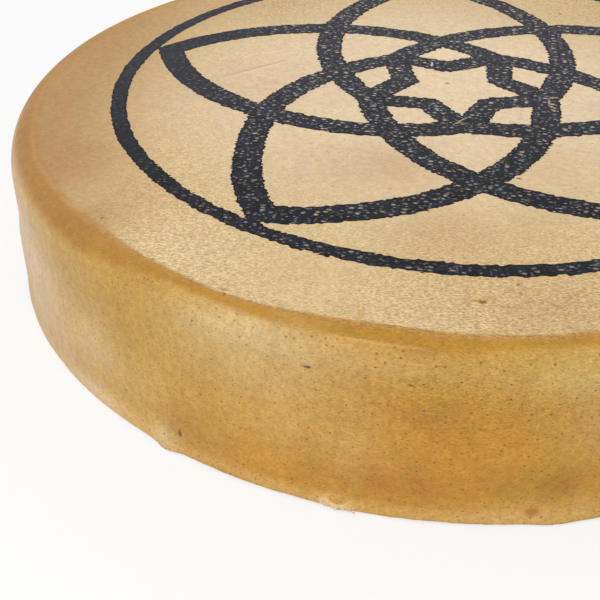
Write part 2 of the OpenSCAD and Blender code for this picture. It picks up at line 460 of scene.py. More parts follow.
# %% Push the top hide into shape
side_zone = (2 * mm, 14 * mm)
side_lump = 0.22 * mm
side_lump_w = 38 * mm
wrinkle_h = 0.10 * mm
wrinkle_w = 5 * mm
wrinkle_squash = 0.12
dimple_h = 0.40 * mm
dimple_w = 9 * mm
dimple_tall = 7 * mm
bead_h = 0.30 * mm
bead_r = 2.0 * mm
tack_strong, tack_varies, tack_phase = 0.6, 0.4, 2.4
cut_wander = 0.40 * mm
cut_wander_w = 14 * mm
cut_nick_w = 3 * mm
cut_wander_full = 0.5 * mm
cut_wander_z = 8 * mm
cut_drop = 0.8 * mm
cut_floor = 0.08 * mm
cut_flare = 0.6 * mm
cut_flare_z = 6 * mm
cut_flare_h = 5 * mm
wrinkled_at = 222
wrinkled_spread = 17
fray_h = 0.35 * mm
fray_w = 2.2 * mm
frayed_at = 262.6
frayed_spread = 1.8
top_turns = 720
lobe_soft = 0.8
lobes = [(1.8 * mm, 242.4, 1.5, 9 * mm), (1.3 * mm, frayed_at, 1.5, 4 * mm), (0.9 * mm, 284.5, 2.2, 6 * mm),
         (1.5 * mm, 331, 2.0, 7 * mm), (1.2 * mm, 24, 2.4, 6 * mm), (1.8 * mm, 88, 1.8, 8 * mm),
         (1.1 * mm, 141, 2.2, 6 * mm)]


def tack_offset(angle):
    """Distance round the side to the nearest tack, in metres, and that tack's number."""
    number = np.round((angle - tack_first) / tack_step)
    return np.radians(angle - tack_first - number * tack_step) * low_r, number % tack_n


def push_top(r, z, angle):
    rows = np.arange(len(r))[:, None]
    outside = rows < outer_n
    x, y = r * np.cos(np.radians(angle)), r * np.sin(np.radians(angle))
    flat = flat_points(x, y)
    points = flat + z[..., None] * (0, 0, 1)
    on_side = smooth(head_z - z, *side_zone)
    uneven = side_lump * lumps(points, side_lump_w, seed=5)
    upright = points * (1, 1, wrinkle_squash)
    wrinkles = wrinkle_h * lumps(upright, wrinkle_w, seed=6) * hill(angle, wrinkled_at, wrinkled_spread)
    beside, number = tack_offset(angle)
    strong = tack_strong + tack_varies * np.sin(number * tack_phase)
    above = z - tack_z
    dimple = -dimple_h * hill(beside, 0, dimple_w) * hill(above, 0, dimple_tall) * strong
    bead = bead_h * hill(np.hypot(beside, above), 0, bead_r) * strong
    r = r + np.where(outside, on_side * (uneven + wrinkles) + dimple + bead, 0)
    r = r + on_side * out_of_round(angle) + cut_flare * smooth(cut_flare_z - z, 0, cut_flare_h)
    for height, at, spread, reach in lobes:
        r = r + height * hill(angle, at, spread) * smooth(reach - z, 0, lobe_soft * reach)
    edge = 1 - smooth(z, trim_z + cut_wander_full, cut_wander_z)
    fray = fray_h * hill(angle, frayed_at, frayed_spread) * lumps(flat, fray_w, seed=9)
    wander = 0.6 * lumps(flat, cut_wander_w, seed=7) + 0.4 * lumps(flat, cut_nick_w, seed=8)
    z = z + edge * (cut_wander * wander - cut_drop + fray)
    z = z + np.where(outside & (rows < len(head_radii)), head_wave(x, y), 0)
    return r, np.maximum(z, cut_floor)


hide_top, points, angle = turn("hide_top", outline, down, top_turns, push_top)

# %% [markdown]
# ## The colours of the top hide
# The hide is palest in the middle of the head, where it is thin and dry. It turns ochre in
# a sharp line at the rim, where it stays thick and close to the wood, and honey coloured
# down the side. Such slow changes are painted on the points of the mesh: first a ground,
# then dabs of another colour, each with a place, a reach and a strength, as a tanner's eye
# would describe the skin. A few dabs paint light instead: a sheen on the flank at the left
# and a highlight on the head at the front left. The far side gets dabs of the same kinds.

# %% Colours of the hide
head_middle = linear(228, 204, 168)
head_front = linear(213, 184, 136)
head_left = linear(181, 140, 86)
honey = linear(198, 158, 86)
golden = linear(199, 156, 76)
amber = linear(199, 146, 56)
ochre = linear(182, 132, 46)
ochre_left = linear(168, 122, 60)
rim_pink = linear(184, 136, 72)
cut_edge = linear(214, 172, 100)

# %% Dabs of colour on the head and the side
head_dabs = [
    ("pale tongue at the left", (217, 189, 153), -92, -14, 48, 0.7),
    # The next dab paints a highlight where the head shines at the front left.
    ("painted highlight at the front left", (216, 190, 147), -84, -150, 26, 0.8),
    ("pinkish tan in the front petal", (202, 169, 130), -20, -75, 24, 0.8),
    ("tan in the left of that petal", (212, 184, 145), -48, -88, 26, 0.6),
    ("tan at the front", (200, 166, 114), 42, -166, 28, 0.7),
    ("tan at the middle front", (199, 166, 121), 6, -128, 22, 0.8),
    ("tan in the right petal", (203, 172, 122), 42, -118, 22, 0.5),
    ("tan by the right crossing", (204, 170, 120), 42, -70, 24, 0.5),
    ("tan under the star", (206, 174, 132), -8, -86, 14, 0.4),
    ("tan shoulder", (200, 163, 112), -124, -118, 22, 0.75),
    ("brown left shoulder", (176, 132, 80), -154, -92, 24, 0.75),
    ("brown rim at the left", (180, 138, 88), -130, -137, 13, 0.7),
    ("pale right", (219, 194, 150), 110, -70, 40, 0.4),
    ("tan at the back", (206, 172, 124), 70, 130, 45, 0.5),
    ("brown far edge", (190, 150, 102), -120, 120, 38, 0.6),
]
side_dabs = [
    # The dabs on the flank at the left, from about 199 to 218 degrees, are partly the hide's milky colour
    # and partly a painted sheen where the side turns away.
    ("gathered flank with painted sheen", (210, 185, 158), 199, 17, 48, 38, 1.0),
    ("milky flank", (214, 185, 146), 218, 7.5, 50, 26, 0.95),
    ("pale cloud", (214, 183, 129), 231, 8, 50, 13, 0.85),
    ("pale shoulder", (216, 189, 137), 253, 8.5, 12, 8, 1.0),
    ("pale shoulder fading down", (214, 179, 117), 253, 9, 24, 13, 0.8),
    ("warm flank below it", (207, 164, 94), 259, 8, 44, 16, 0.6),
    ("pale shoulder at the right", (207, 174, 100), 285, 7.5, 13, 11, 0.9),
    ("pale middle at the right", (206, 168, 106), 290, 6, 34, 16, 0.7),
    ("grey haze", (204, 172, 112), 269, 9, 12, 6, 0.45),
    ("warm cloud at the left", (192, 150, 78), 237, 4, 46, 16, 0.55),
    ("dark cloud low down", (184, 132, 56), 260, 2.6, 60, 15, 0.6),
    ("paler fold beside it", (207, 162, 88), 264, 1.8, 46, 20, 0.55),
    ("second cloud low down", (180, 124, 52), 271, 2.6, 62, 7, 0.6),
    ("small brown cloud", (176, 122, 52), 271.2, 2.8, 32, 6, 0.6),
    ("third cloud low down", (180, 128, 54), 278, 3, 59, 6, 0.5),
    ("fourth cloud low down", (174, 120, 54), 284.2, 2, 61, 6, 0.7),
    ("shade under the rim", (176, 134, 66), 238, 7, 6, 6, 0.55),
    ("olive under the rim", (178, 142, 66), 276, 8, 7.5, 4.5, 0.6),
    ("pale ring round the rust", (210, 166, 88), 282.5, 2.6, 71, 6, 0.55),
    ("pale fold low down", (212, 172, 98), 287, 1.6, 70, 6, 0.6),
    ("pale lobe", (220, 190, 138), 242.0, 1.8, 73, 5, 0.85),
    ("frayed lobe", (236, 212, 160), 262.4, 1.6, 75.6, 2.6, 0.9),
    ("warm spot by the lobe", (188, 134, 62), 247, 3.0, 62, 10, 0.5),
    ("shade low at the left", (182, 134, 70), 244, 2.4, 64, 9, 0.5),
    ("shade by the frayed lobe", (178, 122, 54), 266.4, 2.2, 63, 6, 0.6),
    ("pale edge at the left", (224, 196, 156), 229, 7, 74, 5, 0.75),
    ("pale edge at the right", (224, 182, 112), 281, 7, 74, 5, 0.55),
    # The rosy flank is partly a painted sheen as well.
    ("rosy flank", (210, 187, 166), 206, 8, 27, 14, 0.6),
    ("bright shoulder at the far right", (222, 188, 124), 289, 3.5, 18, 7, 0.5),
    ("far shoulder", (214, 187, 132), 322, 12, 14, 12, 0.9),
    ("far amber cloud", (184, 130, 58), 346, 12, 50, 16, 0.5),
    ("far pale cloud", (208, 177, 122), 12, 9, 44, 15, 0.8),
    ("back shoulder", (213, 184, 132), 38, 12, 16, 10, 0.8),
    ("back milky patch", (207, 180, 146), 64, 10, 46, 20, 0.8),
    ("back dark cloud", (184, 130, 62), 96, 10, 40, 15, 0.5),
    ("left shoulder", (212, 183, 132), 128, 12, 15, 10, 0.8),
    ("left pale cloud", (207, 176, 124), 150, 8, 50, 14, 0.7),
]

# %% The ochre's line at the rim
def apart(angle, at):
    """Difference of two angles, from -180 to 180 degrees."""
    return (angle - at + 180) % 360 - 180


def between(value, start, full, falling, end):
    """1 from full to falling, with a soft rise from start and a soft fall to end."""
    return smooth(value, start, full) * (1 - smooth(value, falling, end))


def tint(a, b, share):
    return a + (b - a) * np.asarray(share)[..., None]


band_w, band_w_left = 3.2, 5.9
band_bulges = [(1.6, 256, 9), (2.8, 271, 6)]
band_soft, band_softer, band_soft_left = 1.6 * mm, 2 * mm, 3 * mm
band_turns = (214, 240)
band_faded, band_faded_at = 0.55, (258, 3)
pink_after, pink_w = 1.2 * mm, 1.3 * mm
rim_ragged, rim_ragged_w = 0.3 * mm, 2.2 * mm
rim_start = 2.9 * mm
rim_late = 2.4 * mm
late_side = (120, 160, 222, 231)
rim_soft = 0.6 * mm
rim_softer = 3.6 * mm
softer_side = (120, 160, 205, 244)
rim_wander = [(1.0 * mm, 222, 8), (-0.6 * mm, 237, 7), (-2.0 * mm, 249, 6.5), (1.3 * mm, 266, 5),
              (0.5 * mm, 287, 3), (-1.2 * mm, 320, 12), (0.9 * mm, 10, 9), (-1.0 * mm, 70, 14),
              (0.8 * mm, 110, 10)]


def rim_line(angle):
    """How far before the bend the ochre starts, and how soft its start is."""
    before = rim_start - rim_late * between(angle, *late_side)
    for height, at, spread in rim_wander:
        before = before + height * hill(apart(angle, at), 0, spread)
    return -before, rim_soft + rim_softer * between(angle, *softer_side)


# %% Tones of the head and the side
head_middle_r = 55 * mm
head_front_r = 165 * mm
head_left_zone = (105 * mm, 178 * mm)
left_side = (150, 180, 226, 244)
right_side = (248, 268, 300, 330)
back_from = (322, 358)
golden_from = (226, 238)
amber_from = (240, 256)
amber_down = (24 * mm, 60 * mm)
cut_edge_down = (70 * mm, 75 * mm)
head_cloud_w, head_mottle_w = 44 * mm, 9 * mm
side_cloud_w, side_mottle_w = 24 * mm, 8 * mm
cloud_tint = (0.9, 1.1, 1.6)


def head_tone(points):
    x, y = points[:, 0], points[:, 1]
    tone = tint(head_middle, head_front, smooth(np.hypot(x, y), head_middle_r, head_front_r))
    tone = tint(tone, head_left, smooth(-x, *head_left_zone))
    for _, colour, at_x, at_y, reach, strength in head_dabs:
        away = np.hypot(x - at_x * mm, y - at_y * mm)
        tone = tint(tone, linear(*colour), strength * hill(away, 0, reach * mm))
    clouds = 1 + 0.05 * lumps(points, head_cloud_w, seed=14)
    return tone * (clouds + 0.025 * lumps(points, head_mottle_w, seed=15))[:, None]


def side_tone(points, angle, down):
    front = 1 - smooth(angle, *back_from)
    right = between(angle, *right_side)
    left = between(angle, *left_side)
    low = front * smooth(down, *amber_down) * smooth(angle, *amber_from)
    tone = tint(honey, golden, front * smooth(angle, *golden_from))
    tone = tint(tone, amber, np.maximum(right, low))
    tone = tint(tone, cut_edge, 0.7 * smooth(down, *cut_edge_down))
    for _, colour, at, spread, at_down, reach, strength in side_dabs:
        share = strength * hill(apart(angle, at), 0, spread) * hill(down, at_down * mm, reach * mm)
        tone = tint(tone, linear(*colour), share)
    band = tint(ochre, ochre_left, left * (1 - 0.25 * smooth(angle, *band_turns)))
    band_end = band_w + band_w_left * left
    for wider, at, spread in band_bulges:
        band_end = band_end + wider * hill(angle, at, spread)
    fading = smooth(down, mm * band_end - band_soft, mm * band_end + band_softer + band_soft_left * left)
    tone = tint(tone, band, (1 - band_faded * hill(angle, *band_faded_at)) * (1 - fading))
    tone = tint(tone, rim_pink, 0.7 * hill(down, rim_line(angle)[0] + pink_after, pink_w))
    cloudy = 0.07 * lumps(points, side_cloud_w, seed=12) + 0.045 * lumps(points, side_mottle_w, seed=13)
    return tone * (1 + cloudy[:, None] * cloud_tint)


def top_tone(points, angle, down):
    start, soft = rim_line(angle)
    ragged = rim_ragged * lumps(points, rim_ragged_w, seed=16)
    share = smooth(down, start + ragged - soft, start + ragged + soft)
    return tint(head_tone(points), side_tone(points, angle, down), share)


# %% Put the tones on the points
def paint_points(mesh, name, colours):
    layer = mesh.color_attributes.new(name, "FLOAT_COLOR", "POINT")
    full = np.column_stack([np.clip(colours, 0, 1), np.ones(len(colours))])
    layer.data.foreach_set("color", full.astype(np.float32).ravel())


def carry(mesh, name, values):
    """Hangs one number on each point of a mesh, for its material to read."""
    layer = mesh.attributes.new(name, "FLOAT", "POINT")
    layer.data.foreach_set("value", np.asarray(values, np.float32))


inner_look = 30 * mm
down_seen = np.where(np.arange(len(down)) < outer_n, down, inner_look)
down_all = np.append(np.repeat(down_seen, top_turns), [-flat_r, inner_look])
angle_all = np.append(angle, [270, 270])
tones = top_tone(points, angle_all, down_all)
paint_points(hide_top.data, "tone", tones)
print("tones from", tones.min(axis=0).round(3), "to", tones.max(axis=0).round(3))

# %% Say where the hide is gathered and where its grain is coarse
gathered_at = (210, 17)
gathered_down = (8 * mm, 24 * mm)
coarse_r = (90 * mm, 165 * mm)
fine_left = (95 * mm, 140 * mm)
scraped_x, scraped_y, scraped_reach = -42 * mm, -162 * mm, 28 * mm
coarse_at, coarse_down = (276, 13), (22 * mm, 20 * mm)
side_front = (215, 245, *back_from)

# The gathered mask also places the painted sheen of the milky streaks.
carry(hide_top.data, "gathered", hill(angle_all, *gathered_at) * smooth(down_all, *gathered_down))
x, y = points[:, 0], points[:, 1]
near_rim = smooth(np.hypot(x, y), *coarse_r) * (1 - 0.9 * smooth(-x, *fine_left))
scraped_smooth = 0.5 * hill(np.hypot(x - scraped_x, y - scraped_y), 0, scraped_reach)
grain_on_head = 0.22 + 0.76 * near_rim - scraped_smooth
coarse_cloud = hill(angle_all, *coarse_at) * hill(down_all, *coarse_down)
grain_on_side = 0.14 + 0.16 * between(angle_all, *side_front) + 0.22 * coarse_cloud
coarseness = np.where(down_all < 0, grain_on_head, grain_on_side)
carry(hide_top.data, "coarse", coarseness)
print("grain's strength from", coarseness.min().round(2), "to", coarseness.max().round(2))

# %% [markdown]
# ## Grain, follicles and spots
# What is finer than the mesh is made by the material: a fibrous grain on the head, drawn
# out in short wavy streaks, the hair follicles that dot the side, and single spots. The
# paint will need the same grain, so the grain is a function that adds its nodes to
# whichever material asks.

# %% Nodes of the grain
def head_grain(tree):
    """Darkness of the head's streaks, 0 to 1, their height for the relief, and the place."""
    where = place_on_drum(tree)
    drawn = stretched(tree, where, (0.55, 1, 1))
    fibre = noise(tree, drawn, 0.6 * mm, Roughness=0.6, Distortion=0.5)
    pebble = noise(tree, drawn, 2.0 * mm)
    patchy = noise(tree, where, 34 * mm, 1.0)
    height = maths(tree, "MULTIPLY_ADD", pebble, 0.35, fibre)
    dark = product(tree, fade(tree, height, 0.76, 0.52), fade(tree, patchy, 0.3, 0.65, 0.6, 1.0))
    return dark, height, where


def dots(tree, where, cell, size, stretch, turn_by=0, rare=1.0):
    """Dots scattered one to a cell, drawn out along X. A high rare leaves only few strong ones."""
    spread = stretched(tree, where, (1 / cell / stretch, 1 / cell, 1 / cell), turn_by)
    cells = add(tree, "ShaderNodeTexVoronoi", {"Vector": spread, "Scale": 1.0}, voronoi_dimensions="2D")
    chance = add(tree, "ShaderNodeSeparateColor", {0: cells.outputs["Color"]}).outputs
    reach = fade(tree, chance[0], 0, 1, 0.35 * size / cell, 0.85 * size / cell)
    inside = maths(tree, "SUBTRACT", 1.0, maths(tree, "DIVIDE", cells.outputs["Distance"], reach))
    return product(tree, fade(tree, inside, 0, 0.6), maths(tree, "POWER", chance[1], rare))


def spot(tree, where, x, y, wide, high, lean=0):
    """1 in the middle of one oval spot, 0 outside it. Its height above the head doesn't count."""
    placed = add(tree, "ShaderNodeMapping", {
        "Vector": where, "Location": (x, y, 0), "Rotation": (0, 0, math.radians(lean)),
        "Scale": (wide / 2, high / 2, 1000)}, vector_type="TEXTURE").outputs[0]
    return fade(tree, length(tree, placed), 0.35, 1.15, 1.0, 0.0)


def wobbled(tree, where, by, size):
    """The place, shifted a little by noise, which frays the outline of whatever is put there."""
    pushed = noise(tree, where, size, 1.0, "Color")
    centred = add(tree, "ShaderNodeVectorMath", {0: pushed, 1: (0.5, 0.5, 0.5)}, operation="SUBTRACT")
    moved = {0: centred.outputs[0], 1: (by, by, 0), 2: where}
    return add(tree, "ShaderNodeVectorMath", moved, operation="MULTIPLY_ADD").outputs[0]


# %% [markdown]
# A hide carries a few marks that are nobody's plan: scars, a fly bite, rust from a tack.
# Each is one row of a list, with its place on the head in millimetres from the middle, or
# on the side as an angle and a height, its width and height, its colour, its strength, and
# for a few the angle at which it leans. Three rows are painted light, not marks: the
# painted shade and painted highlight of the long crease, and a painted highlight along the rim.

# %% Single marks
head_marks = [
    ("rust spot", 17.6, -168.4, 3.6, 2.6, (142, 84, 34), 0.95),
    ("tail of the rust", 15.6, -168.0, 3.2, 1.2, (168, 116, 66), 0.7),
    # The long crease is only painted: a painted shade line beside a painted highlight line.
    ("dark side of the long crease", -94.5, 17.0, 46, 2.4, (178, 144, 104), 0.42, 43),
    ("light side of the long crease", -93.2, 15.4, 46, 2.4, (240, 222, 188), 0.36, 43),
    ("short crease", 41.2, -166.5, 8, 1.3, (168, 128, 80), 0.75, -32),
    ("bites by the ring", 29.5, -156.2, 1.7, 2.6, (128, 86, 38), 0.6),
    ("bite under them", 30.4, -162.0, 1.7, 1.4, (150, 100, 52), 0.65),
    ("smudge at the rim", -22, -182.5, 3.4, 9, (200, 152, 92), 0.5),
    ("dark dot by the nick", -68.6, -177.0, 1.5, 1.5, (104, 66, 30), 0.8),
    ("speck in the star", -0.7, 12.2, 3.0, 2.0, (112, 72, 42), 0.9),
    ("tick by the crossing", 31.4, -79.3, 3.2, 1.6, (98, 62, 30), 0.85),
    ("nick at the rim", -69.7, -174.5, 4.5, 2.2, (176, 118, 76), 0.7),
    ("dark bite", -125.2, -135.1, 1.5, 1.3, (96, 62, 30), 0.8),
    ("bite by the rim", -98.6, -159.8, 1.7, 1.2, (110, 84, 40), 0.7),
    ("small spot at the front", 82, -160, 2.4, 1.6, (160, 104, 58), 0.6),
    ("far rust spot", 58, 118, 3.4, 2.8, (164, 100, 52), 0.7),
    ("far speck", -36, 148, 2.2, 1.8, (120, 80, 46), 0.7),
    ("left speck", -150, 34, 1.8, 1.6, (120, 80, 46), 0.7),
]
side_marks = [
    ("dark scratch", 259.2, 60.7, 3.6, 1.3, (92, 52, 18), 0.95),
    ("short scratch", 269.1, 60.2, 3.0, 0.9, (124, 80, 34), 0.8),
    ("pinched fold", 244.2, 10.4, 2.1, 4.4, (124, 70, 24), 0.9),
    # The pale line along the rim's bend is a painted highlight.
    ("pale crease under the rim", 265.6, 73.4, 40, 1.4, (220, 186, 128), 0.4),
    ("round rust spot", 282.0, 6.2, 5.6, 5.0, (184, 120, 48), 0.85),
    ("brown smudge", 218.9, 9.0, 4.2, 6.0, (172, 124, 74), 0.6),
    ("tack stain at the right", 322, 8, 4.5, 4, (170, 108, 46), 0.7),
    ("long scar", 304, 33, 9, 1.2, (140, 90, 40), 0.6),
    ("far scratch", 12, 52, 4.2, 1.0, (104, 64, 26), 0.8),
    ("tack stain behind", 62, 8, 4.5, 4.5, (168, 106, 46), 0.7),
    ("back bite", 104, 40, 2.6, 2.2, (110, 68, 28), 0.8),
    ("tack stain at the left", 142, 8, 4.5, 4, (172, 112, 50), 0.6),
]


def lay(tree, colour, mask, share, over, strength):
    """Lays a colour over another where a mask and a share of the piece meet."""
    return blend_colour(tree, product(tree, mask, strength, share), colour, over)


def mark_up(tree, colour, where, marks, share, placed):
    """Lays each mark over a colour. The function placed turns a mark's place into coordinates."""
    frayed = wobbled(tree, where, 1.6 * mm, 0.9 * mm)
    for _, a, b, wide, high, ink, strength, *lean in marks:
        there = spot(tree, frayed, *placed(a, b), wide * mm, high * mm, *lean)
        colour = lay(tree, colour, there, share, rgba(*ink), strength)
    return colour


def on_the_head(x, y):
    return x * mm, y * mm


def on_the_side(angle, z):
    return math.radians((angle - 90) % 360) * rim_r, bend_l + side_top_z - z * mm


# %% [markdown]
# ## The top hide's finish
# Rawhide is dull and shines only a little. Its slow tones are multiplied by a fine grain,
# and the pores, the follicles and the marks are laid over them. A mask tells the head from
# the side, where the hide is unrolled, so the follicles keep their shape round the drum.

# %% Colours of the grain and the pores
follicle_dark = rgba(124, 66, 18)
milky = rgba(232, 214, 192)
pore_olive = rgba(160, 118, 52)
streak_brown = rgba(178, 142, 92)
head_speck = rgba(150, 112, 66)
grain_dark = (0.64, 0.58, 0.50, 1)
grain_light = (1.33, 1.39, 1.47, 1)
side_dark = (0.72, 0.56, 0.26, 1)
side_light = (1.26, 1.42, 1.85, 1)
grain_olive = (0.985, 1.015, 0.94, 1)
grain_pink = (1.015, 0.99, 1.06, 1)

# %% Grain of the top hide
hide_finish, tree, shader = new_material("top_hide_finish", Roughness=0.52, Specular_IOR_Level=0.2)
tone = carried(tree, "tone", "Color")
coarse = carried(tree, "coarse")
gathered_folds_with_sheen = carried(tree, "gathered")
streaky, height, where = head_grain(tree)
unrolled = add(tree, "ShaderNodeUVMap", uv_map="unrolled").outputs[0]
up = add(tree, "ShaderNodeSeparateXYZ", {0: where}).outputs[2]
on_head = fade(tree, up, head_z - 1.3 * mm, head_z - 0.3 * mm)
on_side = maths(tree, "SUBTRACT", 1.0, on_head)
rough_head = product(tree, on_head, coarse)

dust = noise(tree, stretched(tree, where, (0.45, 1, 1)), 0.55 * mm, 1.5, Distortion=0.5)
hue = noise(tree, where, 2.2 * mm, 1.0)
mottle = fade(tree, noise(tree, where, 3 * mm), 0.3, 0.7, 0.93, 1.07)
darkest = blend_colour(tree, on_head, side_dark, grain_dark)
lightest = blend_colour(tree, on_head, side_light, grain_light)
grainy = blend_colour(tree, fade(tree, dust, 0.25, 0.75), darkest, lightest)
tinge = blend_colour(tree, fade(tree, hue, 0.35, 0.65), grain_olive, grain_pink)
colour = blend_colour(tree, coarse, tone, grainy, "MULTIPLY")
colour = blend_colour(tree, rough_head, colour, tinge, "MULTIPLY")
colour = blend_colour(tree, maths(tree, "MULTIPLY_ADD", rough_head, -0.7, 1.0), colour, mottle, "MULTIPLY")
colour = lay(tree, colour, streaky, rough_head, streak_brown, 0.3)

# %% Pores, follicles and marks of the top hide
specks = dots(tree, where, cell=3.0 * mm, size=0.7 * mm, stretch=1.5, turn_by=4, rare=1.5)
fine_pores = dots(tree, unrolled, cell=1.4 * mm, size=0.7 * mm, stretch=1.3, turn_by=8)
scattered = wobbled(tree, unrolled, 2.0 * mm, 6 * mm)
follicles = dots(tree, scattered, cell=2.2 * mm, size=0.6 * mm, stretch=1.25, rare=1.5)
colour = lay(tree, colour, specks, on_head, head_speck, 0.5)
colour = lay(tree, colour, fine_pores, on_side, pore_olive, 0.3)
colour = lay(tree, colour, follicles, on_side, follicle_dark, maths(tree, "MULTIPLY_ADD", coarse, 1.2, 0.3))
colour = mark_up(tree, colour, where, head_marks, on_head, on_the_head)
colour = mark_up(tree, colour, unrolled, side_marks, on_side, on_the_side)

# %% Gathered streaks with painted sheen, and relief of the top hide
streaks = noise(tree, stretched(tree, unrolled, (1, 0.09, 1)), 2.2 * mm)
# Milky streaks in the gathered zone are a painted sheen on the upright wrinkles; the relief below shapes
# the wrinkles.
colour = lay(tree, colour, fade(tree, streaks, 0.5, 0.68), gathered_folds_with_sheen, milky, 0.2)
relief = maths(tree, "MULTIPLY_ADD", product(tree, streaks, gathered_folds_with_sheen), 2.5, height)
relief = maths(tree, "SUBTRACT", relief, product(tree, follicles, product(tree, on_side, 0.5)))
wire_up(tree, shader, colour, relief, strength=0.5, depth=0.14 * mm)
hide_top.data.materials.append(hide_finish)
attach(hide_top, "drum")
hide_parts("top_skin")

# %% [markdown]
# ## Frayed fibres
# At one lobe of the cut edge the knife tore the hide, and a few dry fibres stand out pale.
# Each is a tapered tube of five sides that leaves the hide's edge and curls, built ring by
# ring in mesh code, because there are only six of them and each has its own lean.

# %% One fibre
fibre_sides = 5
fibre_rings = 7
fibre_w = 0.8 * mm
fibre_bow = 0.9 * mm
fibre_curl, fibre_curls = 0.15, 5
fibre_end = 1.05
fibres = [(260.9, 3.6, 2.8, 10), (261.5, 2.4, 1.8, -30), (262.4, 1.5, 1.6, 35),
          (263.3, 2.6, 2.6, -8), (263.9, 2.2, 2.4, 12), (264.4, 1.6, 1.8, -30)]


def turned(x, y, degrees):
    c, s = math.cos(math.radians(degrees)), math.sin(math.radians(degrees))
    return c * x - s * y, s * x + c * y


def fibre(angle, z, size, lean, first):
    """Points and faces of one fibre: it starts in the hide and lies out against the side."""
    t = np.linspace(0, 1, fibre_rings)[:, None]
    c = np.arange(fibre_sides) * 2 * math.pi / fibre_sides
    lean = math.radians(lean)
    thick = fibre_w / 2 * (fibre_end - t)
    out = low_r + cut_flare + fibre_bow * (1 + np.sin(math.pi * t)) + thick * np.cos(c)
    sideways = t * math.sin(lean) + fibre_curl * np.sin(fibre_curls * t)
    side = size * mm * sideways + thick * np.sin(c)
    high = np.broadcast_to(z * mm + size * mm * (t - 0.5) * math.cos(lean), out.shape)
    points = np.stack([*turned(out, side, angle), high], axis=-1).reshape(-1, 3).tolist()
    rows = first + np.arange(fibre_rings * fibre_sides).reshape(fibre_rings, fibre_sides)
    near, far = rows[:-1], rows[1:]
    walls = np.stack([near, np.roll(near, -1, axis=1), np.roll(far, -1, axis=1), far], axis=-1)
    return points, [*walls.reshape(-1, 4).tolist(), rows[0, ::-1].tolist(), rows[-1].tolist()]


# %% Fibres at the frayed lobe
all_points, all_faces = [], []
for row in fibres:
    some_points, some_faces = fibre(*row, len(all_points))
    all_points += some_points
    all_faces += some_faces
fray_mesh = bpy.data.meshes.new("frayed_fibres")
fray_mesh.from_pydata(all_points, [], all_faces)
frayed_fibres = put("frayed_fibres", fray_mesh)
fibre_finish, tree, shader = new_material("dry_fibre_finish", Roughness=0.7, Specular_IOR_Level=0.2)
pale = fade(tree, noise(tree, place_on_drum(tree), 1.2 * mm), 0.35, 0.65)
wire_up(tree, shader, blend_colour(tree, pale, rgba(222, 196, 150), rgba(244, 234, 214)))
fray_mesh.materials.append(fibre_finish)
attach(frayed_fibres, "drum")
print("frayed fibres:", len(fibres))

# %% [markdown]
# ## The bottom hide
# The second hide closes the drum below, and its rim laps up the hoop under the top hide.
# It lies flat where the drum rests, so its waves only go upwards. It is turned like the
# first, and it is darker, because it was never scraped as thin.

# %% Shape of the bottom hide
low_turns = 360
low_wave_h = 0.12 * mm
low_wave_w = 45 * mm
low_wave_ends = 20 * mm
low_wave_gone = 4 * mm
low_round_w = 40 * mm
low_rim_w = 12 * mm
low_cloud_w, low_mottle_w = 52 * mm, 12 * mm
low_step = 8 * mm
low_bend_step = 10
lap_height_step = 5 * mm
low_bend_r = 3.65 * mm
low_inner_r = low_bend_r - hide_t
low_flat_r = lap_r - low_bend_r
low_radii = steps(low_step, low_flat_r, low_step)
low_bends = [math.radians(a) for a in steps(0, 90, low_bend_step)]
lap_heights = steps(low_bend_r, lap_z, lap_height_step)

outer = [(lap_r - hide_t, lap_z), (lap_r, lap_z)]
outer += [(lap_r, z) for z in lap_heights[::-1]]
outer += [(low_flat_r + low_bend_r * math.cos(b), low_bend_r - low_bend_r * math.sin(b)) for b in low_bends]
outer += [(r, 0.0) for r in [low_flat_r, *low_radii[::-1]]]
inside = [(r, hide_t) for r in low_radii]
inside += [(low_flat_r + low_inner_r * math.sin(b), low_bend_r - low_inner_r * math.cos(b))
           for b in low_bends[::2]]
inside += [(lap_r - hide_t, z) for z in lap_heights]
low_outline = np.array([(0, hide_t), *inside, *outer, (0, 0)])


def push_bottom(r, z, angle):
    x, y = r * np.cos(np.radians(angle)), r * np.sin(np.radians(angle))
    waves = low_wave_h * (1 + lumps(flat_points(x, y), low_wave_w, seed=21)) / 2
    waves = waves * (1 - smooth(r, low_flat_r - low_wave_ends, low_flat_r - low_wave_gone))
    return r + out_of_round(angle) * smooth(r, low_flat_r - low_round_w, low_flat_r), z + waves


low_down = distance_along(low_outline)[1:-1]
hide_bottom, points, angle = turn("hide_bottom", low_outline, low_down, low_turns, push_bottom)

# %% Finish of the bottom hide
clouds = smooth(lumps(points, low_cloud_w, seed=22), -0.7, 0.7)
low_tone = tint(linear(200, 160, 102), linear(188, 142, 82), clouds)
at_rim = smooth(np.hypot(points[:, 0], points[:, 1]), low_flat_r - low_rim_w, low_flat_r)
low_tone = tint(low_tone, ochre, at_rim) * (1 + 0.06 * lumps(points, low_mottle_w, seed=23)[:, None])
paint_points(hide_bottom.data, "tone", low_tone)

